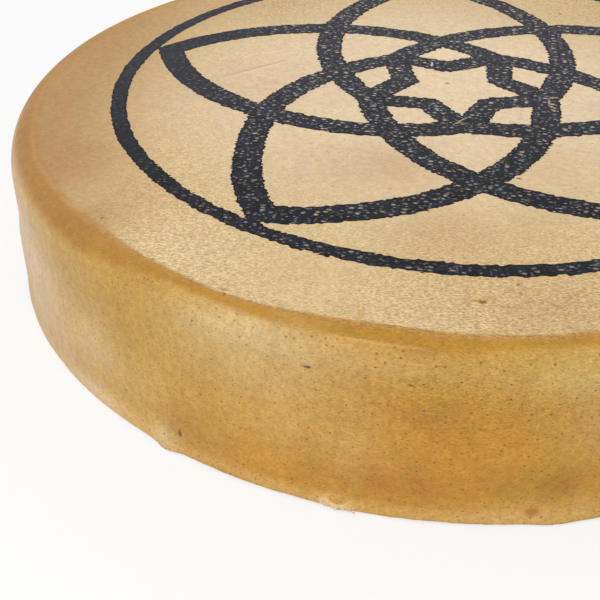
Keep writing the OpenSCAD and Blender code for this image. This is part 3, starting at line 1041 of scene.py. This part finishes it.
low_head_z = 2 * mm
low_marks = [
    ("brown stain", -62, 84, 14, 9, (150, 100, 52), 0.5),
    ("scar", 96, -30, 16, 1.6, (140, 92, 46), 0.6),
    ("bite", 20, -120, 2.4, 2.2, (104, 66, 30), 0.8),
    ("second bite", -118, -66, 2.2, 2.0, (104, 66, 30), 0.7),
]
low_finish, tree, shader = new_material("bottom_hide_finish", Roughness=0.54, Specular_IOR_Level=0.2)
streaky, height, where = head_grain(tree)
colour = lay(tree, carried(tree, "tone", "Color"), streaky, 1.0, streak_brown, 0.35)
up = add(tree, "ShaderNodeSeparateXYZ", {0: where}).outputs[2]
scattered = wobbled(tree, where, 2.0 * mm, 6 * mm)
follicles = dots(tree, scattered, cell=2.9 * mm, size=1.05 * mm, stretch=1.3, turn_by=20, rare=2.0)
follicles = product(tree, follicles, fade(tree, up, low_head_z, low_head_z / 2))
colour = lay(tree, colour, follicles, 1.0, follicle_dark, 0.9)
colour = mark_up(tree, colour, where, low_marks, 1.0, on_the_head)
relief = maths(tree, "SUBTRACT", height, follicles)
wire_up(tree, shader, colour, relief, strength=0.5, depth=0.12 * mm)
hide_bottom.data.materials.append(low_finish)
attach(hide_bottom, "drum")
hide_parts("bottom_skin")

# %% [markdown]
# ## The painted figure as a rule
# The figure is a ring, five strokes that cross like petals and a star in the middle. Each
# shape is written as a distance: below zero inside the paint, above zero outside. Shapes
# in that form are joined with a minimum and cut with a maximum, and a little noise added
# to the distance gives the ragged edge that a brush leaves on hide.

# %% Measures of the figure
ring_low, ring_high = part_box("painted_ring")
figure_at = np.array((ring_low + ring_high)[:2]) / 2
figure_turn = -9.8
petal_n = 5
petal_step = 360 / petal_n
ring_out_r = (ring_high.x - ring_low.x) / 2
ring_w = 7.4 * mm
ring_in_r = ring_out_r - ring_w
arc_r = 112.5 * mm
stroke_w = 12.8 * mm
tip_r = ring_in_r - 7.3 * mm
tip_at = math.radians(petal_step * 3 / 2)
star_tip, star_notch = 59 * mm, 30.9 * mm
hole_tip, hole_notch = 31.8 * mm, 17.3 * mm
waist = np.array([42.7 * mm, 0])
tip_overlap = 1.4 * mm
paint_overlap = 0.6 * mm
hand_slips = [((-74, -92), 36, (3.5, 0.2)), ((-40, -148), 22, (0.2, -1.1)), ((15, -60), 90, (0, -0.6))]
print(f"ring {2000 * ring_out_r:.0f} mm across, round {1000 * figure_at[0]:.1f}, {1000 * figure_at[1]:.1f}")


def arc_centre(p, q, radius):
    """Centre of the arc of that radius through p and q, left of the way from p to q."""
    half = (q - p) / 2
    rise = math.sqrt(radius ** 2 - half @ half)
    return (p + q) / 2 + rise / np.linalg.norm(half) * np.array([-half[1], half[0]])


disc_at = arc_centre(waist, tip_r * np.array([math.cos(tip_at), math.sin(tip_at)]), arc_r)

# %% Distances of the painted shapes
def to_disc_pair(x, y):
    """Distance to the common outline of a stroke's two discs, below zero inside them."""
    return np.minimum(*(np.hypot(x - disc_at[0], y - side * disc_at[1]) for side in (-1, 1))) - arc_r


def to_ring(x, y):
    return np.abs(np.hypot(x, y) - ring_out_r + ring_w / 2) - ring_w / 2


def to_petals(x, y):
    """Distance to the ten crossing strokes, with the places where the painter's hand slipped."""
    for (at_x, at_y), reach, (by_x, by_y) in hand_slips:
        slip = mm * hill(np.hypot(x - at_x * mm, y - at_y * mm), 0, reach * mm)
        x, y = x - by_x * slip, y - by_y * slip
    nearest = np.full(x.shape, np.inf)
    for k in range(petal_n):
        u, v = turned(x, y, -petal_step * k)
        band = np.abs(to_disc_pair(u, v)) - stroke_w / 2
        beyond = (np.abs(np.arctan2(v, u)) - tip_at) * np.hypot(u, v)
        nearest = np.minimum(nearest, np.maximum(band, beyond - tip_overlap))
    return np.maximum(nearest, np.hypot(x, y) - ring_in_r - paint_overlap)


def to_star_shape(x, y, tip, notch):
    """Distance to a star, whose outline is folded into half of one of its points."""
    half_step = math.pi / petal_n
    fold = np.abs((np.arctan2(y, x) + half_step) % (2 * half_step) - half_step)
    r = np.hypot(x, y)
    side = np.array([notch * math.cos(half_step) - tip, notch * math.sin(half_step)])
    normal = np.array([side[1], -side[0]]) / np.linalg.norm(side)
    return (r * np.cos(fold) - tip) * normal[0] + r * np.sin(fold) * normal[1]


def to_star(x, y):
    band = np.maximum(to_star_shape(x, y, star_tip, star_notch), -to_star_shape(x, y, hole_tip, hole_notch))
    for k in range(petal_n):
        u, v = turned(x, y, -petal_step * k)
        band = np.maximum(band, to_disc_pair(u, v) + stroke_w / 2 - paint_overlap)
    return band


# %% [markdown]
# ## From distance to paint
# The distance is worked out on a grid. Where it changes sign between two grid points the
# paint's edge runs through, and the points found so are joined into outlines. Blender then
# fills the outlines with triangles, with a few more points inside so that the paint can
# follow the waves of the head, and walls make it a thin closed film.

# %% Trace the outlines
grid_step = 0.45 * mm
film_t = 0.07 * mm
film_seat = 0.02 * mm
deepest_told = 4
brush_fine = 0.85 * mm
brush_fine_w = 0.85 * mm
brush_slow = 0.35 * mm
brush_slow_w = 3.5 * mm
brush_draw = 0.5
wet_calm = 0.6
wet_zone = (90 * mm, 140 * mm)
fill_every = 5
fill_from = 1.8 * mm


def trace(field, low):
    """Points where the field crosses zero between grid points, and the pairs to join."""
    spots, places, pairs = {}, [], []

    def crossing(i, j, k, l):
        key = (i, j, k, l)
        if key not in spots:
            share = field[i, j] / (field[i, j] - field[k, l])
            spots[key] = len(places)
            places.append(low + grid_step * (np.array([i, j]) + share * np.array([k - i, l - j])))
        return spots[key]

    inside = field < 0
    count = inside[:-1, :-1].astype(int) + inside[1:, :-1] + inside[:-1, 1:] + inside[1:, 1:]
    for i, j in np.argwhere((count > 0) & (count < 4)):
        corners = [(i, j), (i + 1, j), (i + 1, j + 1), (i, j + 1)]
        cut = []
        for (a, b), (c, d) in zip(corners, corners[1:] + corners[:1]):
            if inside[a, b] != inside[c, d]:
                cut.append(crossing(*min((a, b), (c, d)), *max((a, b), (c, d))))
        pairs += [(cut[n], cut[n + 1]) for n in range(0, len(cut), 2)]
    return places, pairs


# %% Fill the outlines with a thin film
def field_at(field, low, x, y):
    """Value of the field between its grid points."""
    i, j = (x - low[0]) / grid_step, (y - low[1]) / grid_step
    a, b = np.floor(i).astype(int), np.floor(j).astype(int)
    s, t = i - a, j - b
    near = field[a, b] * (1 - s) + field[a + 1, b] * s
    far = field[a, b + 1] * (1 - s) + field[a + 1, b + 1] * s
    return near * (1 - t) + far * t


def film(name, distance, reach, lift, seed):
    """A closed film of paint where distance(x, y), with a brush's raggedness, is below zero."""
    low = figure_at - reach
    n = int(2 * reach / grid_step) + 1
    x, y = np.meshgrid(*(low[c] + grid_step * np.arange(n) for c in (0, 1)), indexing="ij")
    field = distance(*turned(x - figure_at[0], y - figure_at[1], -figure_turn))
    drawn = flat_points(brush_draw * x, y)
    rough = brush_fine * (1 - wet_calm * smooth(-x, *wet_zone))
    field = field + rough * lumps(drawn, brush_fine_w, seed)
    field = field + brush_slow * lumps(drawn, brush_slow_w, seed + 1)

    places, pairs = trace(field, low)
    filled = np.argwhere(field[::fill_every, ::fill_every] < -fill_from) * fill_every
    places += [low + grid_step * cell for cell in filled]
    flat, _, faces, *_ = geometry.delaunay_2d_cdt([Vector(p) for p in places], pairs, [], 0, 1e-9)
    flat = np.array([tuple(p) for p in flat])
    faces = np.array([f for f in faces if len(f) == 3])
    faces = faces[field_at(field, low, *flat[faces].mean(axis=1).T) < 0]
    used, faces = np.unique(faces, return_inverse=True)
    flat, faces = flat[used], faces.reshape(-1, 3)
    a, b, c = (flat[faces[:, k]] for k in range(3))
    area = (b[:, 0] - a[:, 0]) * (c[:, 1] - a[:, 1]) - (b[:, 1] - a[:, 1]) * (c[:, 0] - a[:, 0])
    faces = np.where(area[:, None] < 0, faces[:, ::-1], faces)
    return close_film(name, flat, faces, -field_at(field, low, *flat.T), lift)


def close_film(name, flat, faces, depth, lift):
    """Raises the flat triangles onto the head and closes them below and along their edge."""
    n = len(flat)
    under = head_z + head_wave(*flat.T) + film_seat
    top = np.column_stack([flat, under + film_t + lift])
    bottom = np.column_stack([flat, under])
    sides = np.concatenate([faces[:, [0, 1]], faces[:, [1, 2]], faces[:, [2, 0]]]).tolist()
    twin = {(p, q) for p, q in sides}
    walls = [(q, p, p + n, q + n) for p, q in sides if (q, p) not in twin]
    all_faces = faces.tolist() + (faces[:, ::-1] + n).tolist() + walls
    mesh = bpy.data.meshes.new(name)
    mesh.from_pydata(np.vstack([top, bottom]).tolist(), [], all_faces)
    carry(mesh, "from_edge", np.tile(np.clip(depth / mm, 0, deepest_told), 2))
    print(f"{name}: {len(faces)} triangles on top, {len(walls)} round the edge")
    return put(name, mesh)


# %% [markdown]
# ## The paint's finish
# The paint is a blue-black slate that a brush laid over the streaky grain. It missed the
# low spots, which leaves rows of short pale flecks along the grain, it is darkest along the
# strokes' edges where it pooled, and a few fibres and a scratch are caught in it.

# %% Colours of the paint, and what is caught in it
slate = rgba(28, 32, 43)
slate_deep = rgba(17, 18, 24)
pooled = rgba(12, 11, 12)
slate_greyer = rgba(60, 62, 72)
missed_grey = rgba(192, 188, 186)
missed_tan = rgba(206, 184, 158)

paint_marks = [
    ("curled fibre", 46.6, -2.6, 1.3, 11, (176, 160, 142), 0.85),
    ("curled fibre's head", 49.2, 2.8, 5, 1.7, (186, 168, 148), 0.8, 12),
    ("curled fibre's foot", 48.4, -8.6, 4, 1.6, (176, 160, 142), 0.7, -30),
    ("short pale fibre", -9.2, 34.2, 1.2, 8, (206, 202, 200), 0.85),
    ("long pale fibre", 6.6, -29.0, 13, 1.1, (196, 182, 164), 0.85, 56),
    ("fibre's bend", 7.4, -31.0, 6, 1.3, (176, 152, 122), 0.7, -6),
    ("far scratch", -60, 96, 7, 1.5, (170, 148, 120), 0.7),
]

# %% Material of the paint
paint_finish, tree, shader = new_material("paint_finish", Roughness=0.6, Specular_IOR_Level=0.12)
streaky, height, where = head_grain(tree)
uneven = noise(tree, where, 9 * mm, 3.0)
dabbed = fade(tree, noise(tree, where, 0.7 * mm), 0.3, 0.7, 0.35, 1.75)
colour = blend_colour(tree, fade(tree, uneven, 0.35, 0.65), slate, slate_deep)
colour = blend_colour(tree, 1.0, colour, dabbed, "MULTIPLY")
# The paint turns a paler grey towards the back of the head.
colour = blend_colour(tree, carried(tree, "greyer_at_back"), colour, slate_greyer)
colour = lay(tree, colour, streaky, 1.0, pooled, 0.4)

depth = carried(tree, "from_edge")
wandering = wobbled(tree, where, 2.4 * mm, 7 * mm)
flecks = dots(tree, wandering, cell=2.4 * mm, size=1.0 * mm, stretch=1.7, rare=1.2)
small_flecks = dots(tree, wandering, cell=1.4 * mm, size=0.55 * mm, stretch=1.9, turn_by=3, rare=2.0)
flecks = maths(tree, "MAXIMUM", flecks, product(tree, small_flecks, 0.7))
flecks = product(tree, flecks, fade(tree, depth, 0.3, 1.2), carried(tree, "dry"), 0.95)
colour = blend_colour(tree, flecks, colour, blend_colour(tree, uneven, missed_grey, missed_tan))
near_edge = fade(tree, depth, 0.2, 1.2, 1.0, 0.0)
dark_dots = dots(tree, where, cell=1.7 * mm, size=1.3 * mm, stretch=1.4, turn_by=30)
colour = lay(tree, colour, near_edge, fade(tree, dark_dots, 0.1, 0.5, 0.3, 1.0), pooled, 1.0)
colour = mark_up(tree, colour, where, paint_marks, 1.0, on_the_head)
wire_up(tree, shader, colour, height, strength=0.45, depth=0.12 * mm)

# %% Paint the three shapes
def points_of(shape):
    places = np.zeros(3 * len(shape.data.vertices), np.float32)
    shape.data.vertices.foreach_get("co", places)
    return places.reshape(-1, 3)


film_reach = ring_out_r + 4 * mm
film_lift = 0.015 * mm
far_zone = (-110 * mm, 20 * mm)
few_flecks_zone = (80 * mm, 130 * mm)
painted = [
    ("ring_paint", to_ring, film_reach, 0.0, 31, "painted_ring", 0.9),
    ("petal_paint", to_petals, film_reach, film_lift, 33, "painted_petals", 1.1),
    ("star_paint", to_star, star_tip, 2 * film_lift, 35, "painted_star", 1.1),
]
for name, distance, reach, lift, seed, node_name, brush_dry in painted:
    shape = film(name, distance, reach, lift, seed)
    x, y, _ = points_of(shape).T
    far = smooth(y, *far_zone)
    wet = 0.85 * smooth(-x, *few_flecks_zone)
    carry(shape.data, "dry", brush_dry * (0.65 + 0.35 * far) * (1 - wet))
    # The paint turns paler grey towards the back.
    carry(shape.data, "greyer_at_back", 0.38 * far)
    shape.data.materials.append(paint_finish)
    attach(shape, "drum")
    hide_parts(node_name)

# %% [markdown]
# ## Wood and nails
# The hoop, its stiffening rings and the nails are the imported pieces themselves, hidden
# between the hides. Bent wood has its grain running round the hoop, so the material
# unrolls the hoop from the plain coordinates: the angle times the radius, then the height.

# %% Coordinates that run round the hoop
def round_the_hoop(tree):
    x, y, z = add(tree, "ShaderNodeSeparateXYZ", {0: place_on_drum(tree)}).outputs
    angle = maths(tree, "ARCTAN2", x, product(tree, y, -1.0))
    radius = length(tree, add(tree, "ShaderNodeCombineXYZ", {0: x, 1: y}).outputs[0])
    return add(tree, "ShaderNodeCombineXYZ", {0: product(tree, angle, hoop_r), 1: radius, 2: z}).outputs[0]


def wood(name, pale, dark, size):
    material, tree, shader = new_material(name, Roughness=0.62, Specular_IOR_Level=0.3)
    drawn = stretched(tree, round_the_hoop(tree), (0.05, 1, 1))
    grain = noise(tree, drawn, size, 6.0, Distortion=0.4)
    pores = noise(tree, drawn, size / 6)
    colour = blend_colour(tree, fade(tree, grain, 0.32, 0.68), dark, pale)
    colour = blend_colour(tree, fade(tree, pores, 0.6, 0.75, 0.0, 0.4), colour, dark)
    wire_up(tree, shader, colour, pores, strength=0.4)
    return material


def metal(name, clean, stained, size, low_rough, high_rough):
    material, tree, shader = new_material(name, Metallic=1.0)
    patch = noise(tree, place_on_drum(tree), size, 4.0)
    wire_up(tree, shader, blend_colour(tree, fade(tree, patch, 0.4, 0.65), clean, stained))
    tree.links.new(fade(tree, patch, 0.3, 0.7, low_rough, high_rough), shader.inputs["Roughness"])
    return material


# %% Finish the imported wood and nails
finishes = {
    "hoop_wood": wood("hoop_wood_finish", rgba(206, 170, 122), rgba(164, 122, 78), 5 * mm),
    "ring_wood": wood("ring_wood_finish", rgba(190, 150, 104), rgba(142, 100, 62), 4 * mm),
    "nail_steel": metal("nail_steel_finish", rgba(150, 142, 134), rgba(112, 72, 46), 1.5 * mm, 0.35, 0.7),
}
slot_of = {part["node"]: part["material_slot"] for part in frame["record"]["subparts"]}
for name, piece in frame["nodes"].items():
    if slot_of[name] in finishes:
        piece.data.materials.clear()
        piece.data.materials.append(finishes[slot_of[name]])
        print(name, "is finished in", slot_of[name])

# %% [markdown]
# ## The loose shot
# A hundred and eighty steel balls lie on the bottom hide in a close pool. Each ball is
# placed by one rule, a golden angle further round and a little further out than the last,
# which packs them evenly. That is work for Geometry Nodes: the tree lays out every ball,
# keeps those of one group, and puts a ball of few faces on each point. Every group becomes
# a plain mesh of its own, because every group rolls on its own.

# %% Sizes of the pool
shot_n = 180
group_n = 5
ball_faces = 80
shot_low, shot_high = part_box("shot_middle")
ball_d = shot_high.z - shot_low.z
shot_z = (shot_high.z + shot_low.z) / 2
ball_gap = 0.3 * mm
steps_apart = 1.6
shot_step = (ball_d + ball_gap) / steps_apart
pool_r = shot_step * math.sqrt(shot_n)
golden_angle = math.pi * (3 - math.sqrt(5))
print(f"balls of {1000 * ball_d:.2f} mm, pool {2000 * pool_r:.0f} mm across")

# %% Tree that lays out one group of balls
def shot_tree(material):
    tree = bpy.data.node_groups.new("lay_out_shot", "GeometryNodeTree")
    tree.interface.new_socket("Geometry", in_out="OUTPUT", socket_type="NodeSocketGeometry")
    for name, kind in (("Count", "Int"), ("Group", "Int"), ("Step", "Float"), ("Pool radius", "Float"),
                       ("Ball radius", "Float"), ("Height", "Float")):
        tree.interface.new_socket(name, in_out="INPUT", socket_type="NodeSocket" + kind)
    given = add(tree, "NodeGroupInput").outputs
    index = add(tree, "GeometryNodeInputIndex").outputs[0]
    out = product(tree, maths(tree, "SQRT", maths(tree, "ADD", index, 1.0)), given["Step"])
    angle = product(tree, index, golden_angle)
    x, y = (product(tree, out, maths(tree, way, angle)) for way in ("COSINE", "SINE"))
    place = add(tree, "ShaderNodeCombineXYZ", {0: x, 1: y, 2: given["Height"]}).outputs[0]
    balls = add(tree, "GeometryNodePoints", {"Count": given["Count"], "Position": place})

    position = add(tree, "GeometryNodeInputPosition").outputs[0]
    at = add(tree, "ShaderNodeSeparateXYZ", {0: position}).outputs[0]
    width = maths(tree, "DIVIDE", given["Pool radius"], group_n / 2)
    from_end = maths(tree, "ADD", at, given["Pool radius"])
    strip = maths(tree, "FLOOR", maths(tree, "DIVIDE", from_end, width))
    strip = maths(tree, "MINIMUM", strip, group_n - 1.0)
    away = maths(tree, "SUBTRACT", 1.0, maths(tree, "COMPARE", strip, given["Group"], 0.5))
    kept = add(tree, "GeometryNodeDeleteGeometry", {"Geometry": balls.outputs[0], "Selection": away})
    ball = add(tree, "GeometryNodeMeshIcoSphere", {"Radius": given["Ball radius"], "Subdivisions": 2})
    ball = add(tree, "GeometryNodeSetShadeSmooth", {0: ball.outputs[0]}).outputs[0]
    placed = add(tree, "GeometryNodeInstanceOnPoints", {"Points": kept.outputs[0], "Instance": ball})
    real = add(tree, "GeometryNodeRealizeInstances", {0: placed.outputs[0]})
    dressed = add(tree, "GeometryNodeSetMaterial", {0: real.outputs[0], "Material": material})
    tree.links.new(dressed.outputs[0], add(tree, "NodeGroupOutput").inputs[0])
    return tree


# %% Pour the shot
steel = metal("shot_steel_finish", rgba(196, 197, 200), rgba(170, 170, 172), 2 * mm, 0.16, 0.3)
layout = shot_tree(steel)
socket = {item.name: item.identifier for item in layout.interface.items_tree}
groups = [("shot_trailing", "swirling_shot"), ("shot_following", "following_shot"),
          ("shot_middle", "middle_shot"), ("shot_second", "second_shot"),
          ("shot_leading", "leading_shot")]
for number, (node_name, body) in enumerate(groups):
    carrier = put("pour", bpy.data.meshes.new("pour"))
    pour = carrier.modifiers.new("pour", "NODES")
    pour.node_group = layout
    for name, value in (("Count", shot_n), ("Group", number), ("Step", shot_step), ("Pool radius", pool_r),
                        ("Ball radius", ball_d / 2), ("Height", shot_z)):
        pour[socket[name]] = value
    settled = carrier.evaluated_get(bpy.context.evaluated_depsgraph_get())
    poured = bpy.data.meshes.new_from_object(settled)
    bpy.data.objects.remove(carrier)
    balls = put(node_name + "_balls", poured)
    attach(balls, body)
    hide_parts(node_name)
    print(balls.name, len(poured.polygons) // ball_faces, "balls")
